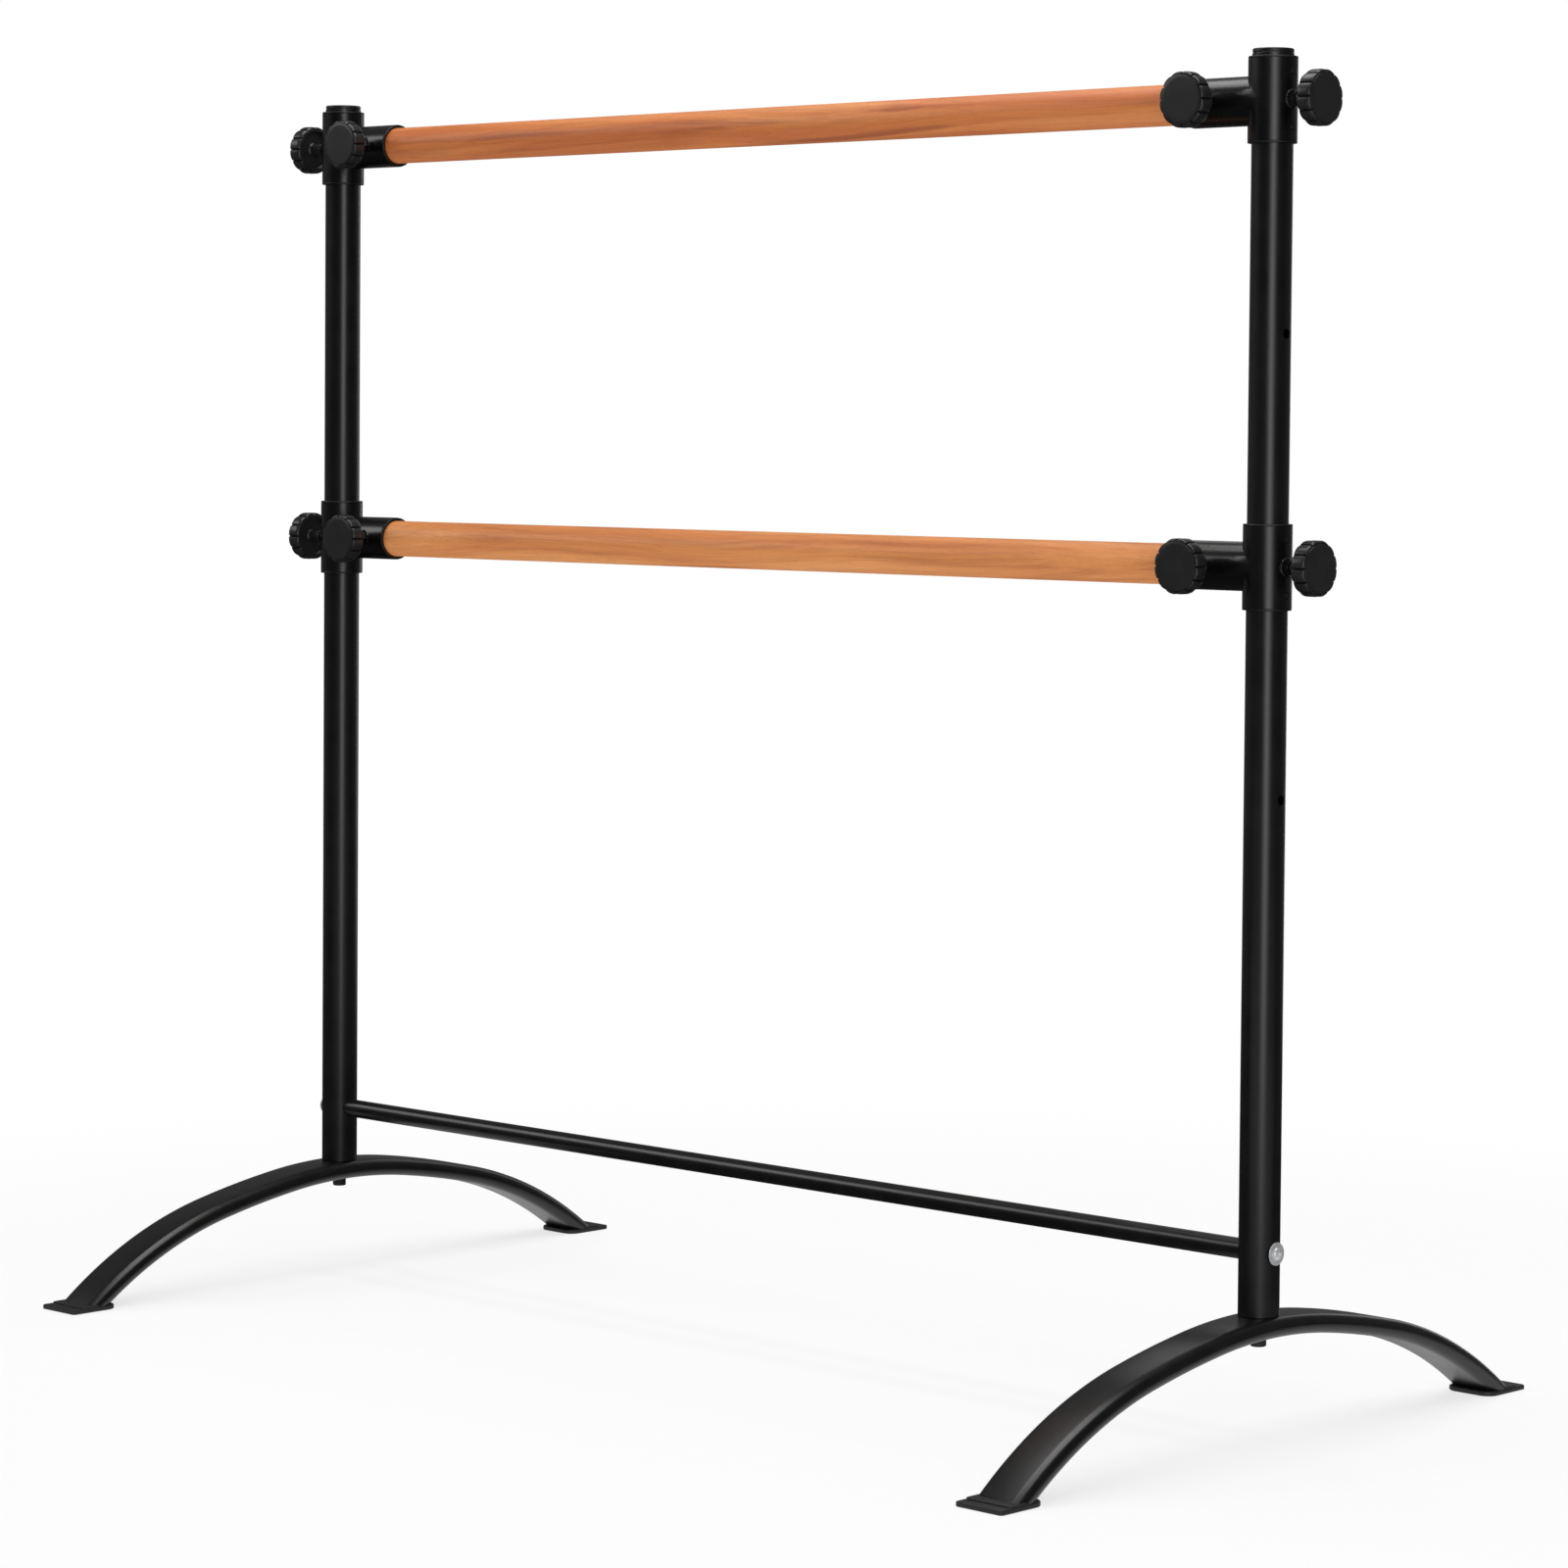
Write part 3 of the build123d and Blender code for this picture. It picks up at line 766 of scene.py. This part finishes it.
def make_base_bolts():
    """Hex bolts seen from below, and their washers."""
    bolts, washers = Shape(), Shape()
    head_top = low("base_bolt_washers").z
    head_height = head_top - low("base_bolts").z
    washer_thick = high("base_bolt_washers").z - head_top
    for _, side in SIDES:
        down = facing((side * HALF_SPAN, 0, head_top), (0, 0, -1), (1, 0, 0))
        hex_head(bolts, down, BASE_BOLT_FLAT, head_height)
        up = upward(side * HALF_SPAN, 0, head_top)
        shank = high("base_bolts").z - head_top
        profile = [(0, 0), (BASE_BOLT_R, 0), (BASE_BOLT_R, shank), (0, shank)]
        bolts.turn(up, profile, steps=32)
        flat_washer(washers, up, BASE_WASHER_R, BASE_WASHER_HOLE_R, washer_thick)
    thing = add_object("base_bolts_shape", bolts)
    finish_piece(thing, "base_frame", BOLT, ["base_bolts"])
    thing = add_object("base_bolt_washers_shape", washers)
    finish_piece(thing, "base_frame", BOLT, ["base_bolt_washers"])


# ------------------------------------------------------------------- brackets


def bracket_point(side, z):
    """Maps (inward, y, up) about the post's axis at a bar's height to the row frame."""
    return lambda inward, y, up: (side * (HALF_SPAN - inward), y, z + up)


def weld_ripple(angle, count, depth):
    """Height of the overlapping scales of a weld."""
    return depth * (0.5 + 0.5 * cos(angle * count + 1.3 * sin(3 * angle))) ** 2


def weld_root(angle):
    """The corner between socket and sleeve, rounded off where it crosses their flanks."""
    up = COLLAR_R * cos(angle)
    return Vector((sqrt(up**2 + (WELD_TURN * sin(angle) ** 2) ** 2), COLLAR_R * sin(angle), up))


def weld_section(angle, sides=8):
    """(inward, y, up) points round the weld: a low crown over the corner, sunk into the steel."""
    root = weld_root(angle)
    along = (weld_root(angle + 0.001) - weld_root(angle - 0.001)).normalized()
    out = Vector((abs(cos(angle)), 2 * sin(angle), cos(angle)))
    out = (out - along * out.dot(along)).normalized()
    across = along.cross(out)
    corner = (pi - acos(sin(angle) ** 2)) / 2
    lift, half = WELD_LEG * cos(corner), WELD_LEG * sin(corner)
    crown = WELD_CROWN + weld_ripple(angle, 40, 0.15 * MM)
    row = [root - out * 0.8 * MM]
    for k in range(sides + 1):
        turn = pi * k / sides
        row.append(root + across * half * cos(turn) + out * (lift - 0.3 * MM + crown * sin(turn)))
    return row


def make_bracket(name, side, z, rail):
    """Sleeve and socket of one diameter, with the weld bead that runs round where they meet."""
    at = bracket_point(side, z)
    half_turn = [radians(-90 + 180 * k / 48) for k in range(49)]
    shape = Shape()
    rim = [(COLLAR_R * cos(tau * k / 96), COLLAR_R * sin(tau * k / 96)) for k in range(96)]
    bore = COLLAR_BORE / COLLAR_R
    for sign in (1, -1):
        sleeve, outer, socket = [], [], []
        for t in half_turn:
            x, y = COLLAR_R * cos(t), COLLAR_R * sin(t)
            levels = [x + (COLLAR_HALF - x) * k / 5 for k in range(6)]
            sleeve.append([at(x, y, sign * h) for h in levels])
            outer.append([at(-x, y, sign * COLLAR_HALF * k / 5) for k in range(6)])
            runs = [x + (SOCKET_END - x) * k / 6 for k in range(7)]
            socket.append([at(u, y, sign * x) for u in runs])
        for rows in (sleeve, outer, socket):
            shape.sheet(rows)
        top = [at(x, y, sign * COLLAR_HALF) for x, y in rim]
        mouth = [at(x * bore, y * bore, sign * COLLAR_HALF) for x, y in rim]
        waist = [at(x * bore, y * bore, 0) for x, y in rim]
        shape.sheet([top, mouth, waist], around=True)
    end = [at(SOCKET_END, y, x) for x, y in rim]
    lip = [at(SOCKET_END, y * bore, x * bore) for x, y in rim]
    floor = [at(COLLAR_R + 1 * MM, y * bore, x * bore) for x, y in rim]
    shape.sheet([end, lip, floor], around=True)
    shape.lid(floor)

    steps = 240
    weld = [weld_section(tau * k / steps) for k in range(steps)]
    shape.sheet([[at(*point) for point in row] for row in weld], around=True, along=True)
    bracket = add_object(name + "_shape", shape)
    cutters = []
    for offset in (-PEG_OFFSET, PEG_OFFSET):
        out = facing((side * HALF_SPAN, 0, z + offset), (side, 0, 0))
        cutters.append((out, PEG_HOLE_R, COLLAR_BORE - 2 * MM, COLLAR_R + 4 * MM))
    cut(bracket, cutters)
    return finish_piece(bracket, rail, GLOSS, [name])


def make_bush(name, side, z, end, rail):
    """Half-bush: thin guide, end flange with soft edges, and a snap peg in the sleeve's hole."""
    place = facing((side * HALF_SPAN, 0, z), (0, 0, end), (1, 0, 0))
    flange = BUSH_HALF - COLLAR_HALF
    wall = COLLAR_BORE - 0.1 * MM
    corners = [
        (GUIDE_R, 6.5 * MM, 0),
        (wall, 6.5 * MM, 0.4 * MM),
        (wall, COLLAR_HALF + 0.1 * MM, 0),
        (COLLAR_R - 0.35 * MM, COLLAR_HALF + 0.1 * MM, 0.2 * MM),
        (COLLAR_R - 0.05 * MM, COLLAR_HALF + 0.5 * MM, 0.2 * MM),
        (COLLAR_R - 0.05 * MM, COLLAR_HALF + flange, 0.7 * MM),
        (GUIDE_R, COLLAR_HALF + flange, 0.6 * MM),
    ]
    shape = Shape()
    shape.turn(place, rounded(corners, closed=True), closed=True)
    out = facing((side * HALF_SPAN, 0, z + end * PEG_OFFSET), (side, 0, 0))
    tip = COLLAR_R + 0.15 * MM
    peg = [(0, wall - 0.5 * MM, 0), (PEG_R, wall - 0.5 * MM, 0), (PEG_R, tip, 0.5 * MM), (0, tip, 0)]
    shape.turn(out, rounded(peg), steps=32)
    bush = add_object(name + "_shape", shape)
    return finish_piece(bush, rail, PLASTIC, [name])


def make_liner(name, side, z, rail):
    """Plastic ring that lines the socket, with a flange at its mouth."""
    place = facing((side * HALF_SPAN, 0, z), (-side, 0, 0))
    wall = COLLAR_BORE - 0.1 * MM
    guide = BAR_R + 0.08 * MM
    start = COLLAR_R + 1.2 * MM
    corners = [
        (guide, start, 0),
        (wall, start, 0),
        (wall, SOCKET_END + 0.1 * MM, 0),
        (COLLAR_R - 0.35 * MM, SOCKET_END + 0.1 * MM, 0.2 * MM),
        (COLLAR_R - 0.05 * MM, SOCKET_END + 0.5 * MM, 0.2 * MM),
        (COLLAR_R - 0.05 * MM, LINER_END, 0.8 * MM),
        (guide, LINER_END, 0.6 * MM),
    ]
    shape = Shape()
    shape.turn(place, rounded(corners, closed=True), closed=True)
    liner = add_object(name + "_shape", shape)
    return finish_piece(liner, rail, PLASTIC, [name])


def make_nuts(name, seats, rail):
    """Weld nuts sunk into the round tubes, each in a ring of weld, with the studs' holes through."""
    shape = Shape()
    height = NUT_FACE - COLLAR_R + NUT_SUNK

    def weld_line(seat, curved):
        def centre(angle):
            x, y = NUT_WELD_R * cos(angle), NUT_WELD_R * sin(angle)
            off = x if curved else y
            return seat @ Vector((x, y, sqrt(COLLAR_R**2 - off**2) - 0.3 * MM))

        return centre

    def weld_radius(angle):
        return 1.5 * MM + weld_ripple(angle, 22, 0.25 * MM)

    for seat, curved in seats:
        base = seat @ Matrix.Translation((0, 0, COLLAR_R - NUT_SUNK))
        hex_head(shape, base, NUT_FLAT, height, hole=STUD_R + 0.15 * MM)
        bead(shape, weld_line(seat, curved), weld_radius, steps=110, sides=10)
    nuts = add_object(name + "_shape", shape)
    return finish_piece(nuts, rail, GLOSS, [name])


# ---------------------------------------------------------------------- knobs


def lobe_angles():
    """Angles round a knob, closer together in the grooves."""
    step = tau / KNOB_LOBES
    away = [0, 0.3, 0.6, 0.85, 1.05, 1.2, 1.35, 1.7, 2.4, 3.6, 5.2]
    away = [d * MM / KNOB_R for d in away]
    around = away + [step / 2] + [step - d for d in reversed(away[1:])]
    return [i * step + a for i in range(KNOB_LOBES) for a in around]


def lobed(radius, crown):
    """Radius between slightly crowned lobes, cut by narrow round-bottomed grooves."""
    half_groove = 1.2 * MM / KNOB_R
    step = tau / KNOB_LOBES

    def size(angle):
        away = abs((angle + step / 2) % step - step / 2)
        out = radius - crown * (1 - away / (step / 2)) ** 2
        if away < half_groove:
            floor = KNOB_R - KNOB_GROOVE * sqrt(1 - (away / half_groove) ** 2)
            out = min(out, floor)
        return out

    return size


def make_knob(name, face, body, node):
    """Grooved lobes with rounded ends round a plain face disc; recessed back and a hub."""
    back = -KNOB_SKIRT
    hub_end = back - KNOB_HUB_LENGTH
    angles = lobe_angles()
    hub = [
        (0.0, hub_end),
        (KNOB_HUB_R - 0.7 * MM, hub_end),
        (KNOB_HUB_R - 0.2 * MM, hub_end + 0.3 * MM),
        (KNOB_HUB_R, hub_end + 0.9 * MM),
        (KNOB_HUB_R + 0.5 * MM, back - 0.5 * MM),
        (KNOB_HUB_R + 0.9 * MM, back + 2.0 * MM),
        (KNOB_HUB_R + 2.2 * MM, back + 3.2 * MM),
        (KNOB_R - 6.8 * MM, back + 3.2 * MM),
        (KNOB_R - 6.0 * MM, back + 2.6 * MM),
        (KNOB_R - 5.8 * MM, back + 0.4 * MM),
        (KNOB_R - 5.4 * MM, back),
    ]
    rows = [ring(face, r, h, angles) for r, h in hub]
    skirt = [
        (3.2 * MM, 0.05 * MM, 0.6),
        (2.0 * MM, 0.3 * MM, 0.9),
        (1.1 * MM, 0.9 * MM, 1.0),
        (0.4 * MM, 2.0 * MM, 1.0),
        (0.1 * MM, 3.4 * MM, 1.0),
        (0.0, 5.0 * MM, 1.0),
        (0.0, 12.4 * MM, 1.0),
        (0.1 * MM, 13.3 * MM, 1.0),
        (0.35 * MM, 14.1 * MM, 1.0),
        (0.8 * MM, 14.8 * MM, 0.9),
        (1.4 * MM, 15.25 * MM, 0.7),
        (2.0 * MM, 15.45 * MM, 0.4),
        (2.5 * MM, 15.5 * MM, 0.1),
        (2.7 * MM, 15.35 * MM, 0.0),
        (2.8 * MM, 14.95 * MM, 0.0),
        (3.05 * MM, 14.9 * MM, 0.0),
        (3.15 * MM, 15.4 * MM, 0.0),
        (3.35 * MM, 15.75 * MM, 0.0),
        (3.8 * MM, 15.9 * MM, 0.0),
    ]
    for inset, height, crown in skirt:
        size = lobed(KNOB_R - inset, 0.9 * MM * crown)
        rows.append(ring(face, size, back + height, angles))
    flat_r = KNOB_R - 3.8 * MM
    for k in range(1, 9):
        r = flat_r * (1 - k / 8)
        rows.append(ring(face, r, -0.1 * MM * (r / flat_r) ** 2, angles))
    shape = Shape()
    shape.sheet(rows, around=True)
    knob = add_object(name, shape)
    return finish_piece(knob, body, KNOB, [node])


def make_stud(name, face, tip, body, node):
    """Threaded rod from the knob's hub to its chamfered tip; a right-hand V thread."""
    root = -KNOB_SKIRT
    per_pitch = 8
    steps = 24
    rise = THREAD_PITCH / per_pitch
    count = int((root - tip) / rise)

    def thread(height, above_tip):
        lead = min(1.0, above_tip / (1.5 * THREAD_PITCH))

        def size(angle):
            phase = (height / THREAD_PITCH - angle / tau) % 1.0
            cut_in = THREAD_DEPTH * (1 - abs(2 * phase - 1)) + 0.6 * MM * (1 - lead)
            return STUD_R - 0.05 * MM - cut_in

        return size

    rows = [ring(face, 0.0, tip, steps)]
    for k in range(count + 1):
        rows.append(ring(face, thread(tip + k * rise, k * rise), tip + k * rise, steps))
    rows.append(ring(face, 0.0, tip + count * rise, steps))
    shape = Shape()
    shape.sheet(rows, around=True)
    stud = add_object(name, shape)
    return finish_piece(stud, body, BOLT, [node])


def make_bar(level):
    """Turned wooden bar with a small chamfer at each end."""
    name = f"{level}_bar"
    length = high(name).x - low(name).x
    place = facing((low(name).x, 0, middle(name).z), (1, 0, 0))
    end = 1.0 * MM
    stops = [end + (length - 2 * end) * k / 12 for k in range(13)]
    profile = [(0, 0), (BAR_R - end, 0)] + [(BAR_R, h) for h in stops]
    profile += [(BAR_R - end, length), (0, length)]
    shape = Shape()
    shape.turn(place, profile, steps=128)
    bar = add_object(name + "_shape", shape)
    return finish_piece(bar, name, WOOD[level], [name])


# ------------------------------------------------------------------ the object

for side_name, side in SIDES:
    make_post(f"{side_name}_post", side)
    make_post_cap(f"{side_name}_post_cap", side)
    make_arch(f"{side_name}_base_arch", side)
    for end_name, end in (("front", -1), ("back", 1)):
        make_foot_pad(f"{side_name}_{end_name}_foot_pad", side, end)
make_cross_tube()
make_cross_screws()
make_cross_washers()
make_base_bolts()

for level in LEVELS:
    z = middle(f"{level}_bar").z
    rail = f"{level}_rail"
    make_bar(level)
    for side_name, side in SIDES:
        place = f"{level}_{side_name}"
        post_axis = facing((side * HALF_SPAN, 0, z), (side, 0, 0))
        bar_knob = middle(f"{place}_bar_knob")
        bar_axis = facing((bar_knob.x, 0, z), (0, -1, 0))
        make_bracket(f"{place}_bracket", side, z, rail)
        make_bush(f"{place}_top_bush", side, z, 1, rail)
        make_bush(f"{place}_bottom_bush", side, z, -1, rail)
        make_liner(f"{place}_socket_liner", side, z, rail)
        make_nuts(f"{place}_weld_nuts", ((post_axis, False), (bar_axis, True)), rail)
        ends = low(f"{place}_post_knob").x, high(f"{place}_post_knob").x
        post_face = max(abs(x) for x in ends) - HALF_SPAN
        bar_face = -low(f"{place}_bar_knob").y
        for kind, axis, face_at in (("post", post_axis, post_face), ("bar", bar_axis, bar_face)):
            node = f"{place}_{kind}_knob"
            face = axis @ Matrix.Translation((0, 0, face_at))
            tip = POST_R + 0.3 * MM - face_at
            make_knob(f"{node}_shape", face, node, node)
            make_stud(f"{place}_{kind}_stud_shape", face, tip, node, f"{place}_{kind}_stud")

for hidden in ("cross_tube_inserts", "left_post_insert", "right_post_insert"):
    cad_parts[hidden].data.materials.clear()
    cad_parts[hidden].data.materials.append(ZINC)


# ----------------------------------------------------------- studio and camera

# Brightness of the floor where reflections find it dark, and the tall softboxes' size and place
FLOOR_DARK = 0.03
SOFTBOX_HEIGHT = 4.2
SOFTBOX_MIDDLE = Vector((0, 0, 0.95))
KEY_DISTANCE = 4.3
REAR_DISTANCE = 4.0


def make_floor(key_side):
    """Near-white floor disc with faint shadows; to other rays it glows instead of being lit, with
    painted light in reflections at the feet and before the key, and a painted bounce glow.
    """
    shape = Shape()
    shape.turn(upward(0, 0, 0), [(0.0, 0.0), (1.0, 0.0), (2.0, 0.0), (3.0, 0.0)], steps=64)
    floor = add_object("floor", shape)
    n = Nodes("floor_paint")
    n.set(Base_Color=(0.85, 0.85, 0.85, 1), Roughness=0.9, Specular_IOR_Level=0.0)
    white = n.add("ShaderNodeEmission")
    fade = n.span(n.measure("LENGTH", n.where), 0.72, 1.0, 0.7, 1.9, smooth=True)
    seen = n.either(fade, n.shader.outputs[0], white.outputs[0])
    # Painted light: to rays other than the camera's, the floor's glow is painted brighter near the
    # arches' feet and before the key, and it glows for diffuse rays as painted bounce light.
    rays = n.add("ShaderNodeLightPath").outputs
    split = n.add("ShaderNodeSeparateXYZ")
    n.join(n.where, split.inputs[0])
    sideways = n.math("ABSOLUTE", split.outputs["X"])
    feet = n.span(sideways, FLOOR_DARK, 0.85, 0.42, 0.58)
    near = n.span(rays["Ray Length"], feet, FLOOR_DARK, 0.05, 0.6)
    before = n.span(n.measure("DOT_PRODUCT", n.where, key_side), 0.0, 0.8, 0.9, 1.6)
    reflected = n.math("MAXIMUM", near, before)
    bounce_glow = n.math("MULTIPLY", rays["Is Diffuse Ray"], 1.4)
    unseen = n.add("ShaderNodeEmission")
    n.join(n.math("MAXIMUM", reflected, bounce_glow), unseen.inputs["Strength"])
    n.join(n.either(rays["Is Camera Ray"], unseen.outputs[0], seen), n.out.inputs[0])
    floor.data.materials.append(n.material)


def make_world(ahead):
    """White to the camera; otherwise a dim even room, a little lighter beyond the object."""
    world = bpy.data.worlds.new("studio")
    world.use_nodes = True
    bpy.context.scene.world = world
    n = Tree(world.node_tree)
    background = n.tree.nodes["Background"]
    background.inputs["Color"].default_value = (1, 1, 1, 1)
    rays = n.add("ShaderNodeLightPath").outputs
    where = n.add("ShaderNodeTexCoord").outputs["Generated"]
    shine = n.span(n.measure("DOT_PRODUCT", where, ahead), 0.05, 0.13, -0.45, 0.4, smooth=True)
    room = n.span(rays["Is Glossy Ray"], 0.42, shine)
    n.join(n.math("MAXIMUM", rays["Is Camera Ray"], room), background.inputs["Strength"])


def add_light(name, place, target, width, height, radiance):
    """Softbox of an even brightness, which the camera doesn't see."""
    data = bpy.data.lights.new(name, "AREA")
    data.shape = "RECTANGLE"
    data.size = width
    data.size_y = height
    data.energy = radiance * pi * width * height
    light = bpy.data.objects.new(name, data)
    light.location = place
    light.rotation_euler = (Vector(target) - Vector(place)).to_track_quat("-Z", "Y").to_euler()
    light.visible_camera = False
    bpy.context.scene.collection.objects.link(light)


def make_camera():
    """The viewing angle: a long lens between the two bars' heights, off the front right."""
    place = Vector((3.2878, -3.4088, 0.9218))
    heading, pitch, roll = radians(43.691), radians(-2.417), radians(0.440)
    forward = Vector((-sin(heading) * cos(pitch), cos(heading) * cos(pitch), sin(pitch)))
    level_right = Vector((cos(heading), sin(heading), 0))
    level_up = level_right.cross(forward)
    right = level_right * cos(roll) + level_up * sin(roll)
    up = level_up * cos(roll) - level_right * sin(roll)
    data = bpy.data.cameras.new("camera")
    data.sensor_width = 36.0
    data.lens = 109.38
    data.shift_y = -0.10
    camera = bpy.data.objects.new("camera", data)
    turn = Matrix((right, up, -forward)).transposed()
    camera.matrix_world = Matrix.Translation(place) @ turn.to_4x4()
    bpy.context.scene.collection.objects.link(camera)
    bpy.context.scene.camera = camera
    return forward


bpy.context.scene.view_settings.view_transform = "Standard"
forward = make_camera()
to_camera = Vector((-forward.x, -forward.y, 0)).normalized()
make_floor(to_camera)
make_world(forward)
to_right = Vector((-to_camera.y, to_camera.x, 0))
key_place = to_camera * KEY_DISTANCE + to_right * 0.55 + SOFTBOX_MIDDLE
for i, (width, radiance) in enumerate(((0.8, 1.0), (1.4, 1.2), (2.8, 1.0))):
    nudge = to_camera * 0.02 * i
    add_light(f"key_{i}", key_place + nudge, SOFTBOX_MIDDLE, width, SOFTBOX_HEIGHT, radiance)
rear_place = to_camera * -REAR_DISTANCE + to_right * 2.7 + SOFTBOX_MIDDLE
add_light("rear", rear_place, SOFTBOX_MIDDLE, 1.0, SOFTBOX_HEIGHT, 1.2)
add_light("overhead", (0.3, 0, 3.3), (0.3, 0, 0), 3.4, 1.6, 4.1)
add_light("front_left", (-3.7, -2.7, 3.0), (0, 0, 0.5), 3.2, 1.6, 3.0)
add_light("back", (-0.9, 2.3, 2.0), (0.2, 0, 0.2), 1.6, 1.0, 0.7)
